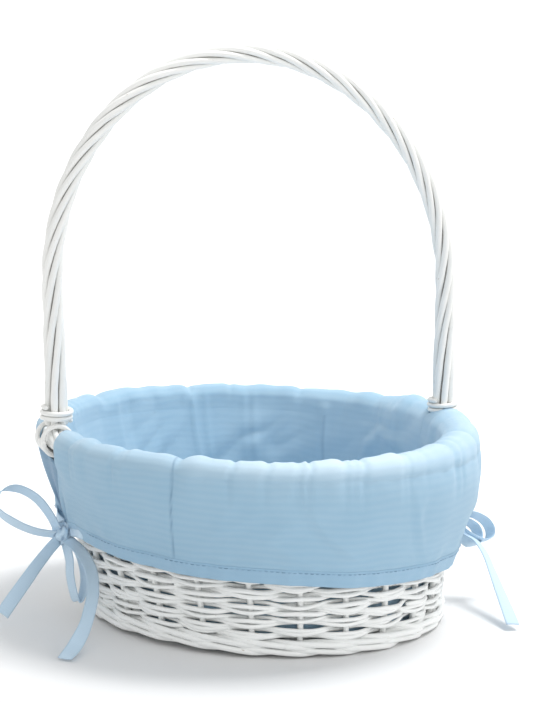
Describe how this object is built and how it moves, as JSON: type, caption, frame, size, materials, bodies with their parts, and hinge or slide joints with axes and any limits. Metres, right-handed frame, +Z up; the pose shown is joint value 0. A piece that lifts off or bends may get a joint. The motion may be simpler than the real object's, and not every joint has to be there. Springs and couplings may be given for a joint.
{
  "type": "flower girl basket",
  "caption": "Round woven wicker basket with a twisted arch handle, a cloth liner folded over the rim as a ruffled skirt, and ribbon bows below the handle feet.",
  "frame": {"origin": "centre of the underside of the foot, on the surface that the basket stands on", "axes": "+Z up; X from the left handle foot to the right handle foot, so the handle stands in the XZ plane; +Y to the back"},
  "size_m": [0.3005, 0.2488, 0.3149],
  "materials": {
    "painted_willow": "white satin paint, slightly uneven, willow grain showing",
    "handle_willow": "white satin paint over stripped willow",
    "shaded_willow": "thin white paint",
    "cloth": "soft cotton with fine tone on tone stripes",
    "hem_cloth": "doubled and stitched cotton",
    "ribbon": "soft woven cotton ribbon"
  },
  "bodies": {
    "basket": {"foot_wale": "painted_willow", "base_sticks_x": "shaded_willow", "base_sticks_y": "shaded_willow", "base_weave": "shaded_willow", "side_stakes": "painted_willow", "lower_weave": "painted_willow", "upper_weave": "painted_willow", "top_wale": "painted_willow", "rolled_border": "painted_willow", "handle_core": "shaded_willow", "handle_strand_1": "handle_willow", "handle_strand_2": "handle_willow", "handle_strand_3": "handle_willow", "handle_strand_4": "handle_willow", "handle_strand_5": "handle_willow", "handle_strand_6": "handle_willow", "handle_collar_left": "handle_willow", "handle_collar_right": "handle_willow", "handle_lashing_left": "handle_willow", "handle_lashing_right": "handle_willow", "liner_base": "cloth", "liner_wall": "cloth", "skirt_front": "cloth", "skirt_back": "cloth", "hem_front": "hem_cloth", "hem_back": "hem_cloth", "left_knot": "ribbon", "left_outer_loop": "ribbon", "left_hanging_loop": "ribbon", "left_tie_front": "ribbon", "left_tie_back": "ribbon", "right_knot": "ribbon", "right_upper_loop": "ribbon", "right_lower_loop": "ribbon", "right_tie_front": "ribbon", "right_tie_back": "ribbon"},
    "left_front_tail_ribbon": {"left_front_tail": "ribbon"},
    "left_outer_tail_ribbon": {"left_outer_tail": "ribbon"},
    "right_front_tail_ribbon": {"right_front_tail": "ribbon"},
    "right_back_tail_ribbon": {"right_back_tail": "ribbon"}
  },
  "joints": [
    {"name": "left_front_tail_swing", "type": "hinge", "parent": "basket", "child": "left_front_tail_ribbon", "pos_m": [-0.117, 0, 0.048], "axis": [0, 1, 0], "range_deg": [0, 50]},
    {"name": "left_outer_tail_swing", "type": "hinge", "parent": "basket", "child": "left_outer_tail_ribbon", "pos_m": [-0.117, 0, 0.048], "axis": [0, 1, 0], "range_deg": [0, 22]},
    {"name": "right_front_tail_swing", "type": "hinge", "parent": "basket", "child": "right_front_tail_ribbon", "pos_m": [0.117, 0, 0.048], "axis": [0, -1, 0], "range_deg": [0, 28]},
    {"name": "right_back_tail_swing", "type": "hinge", "parent": "basket", "child": "right_back_tail_ribbon", "pos_m": [0.117, 0, 0.048], "axis": [0, -1, 0], "range_deg": [0, 24]}
  ]
}
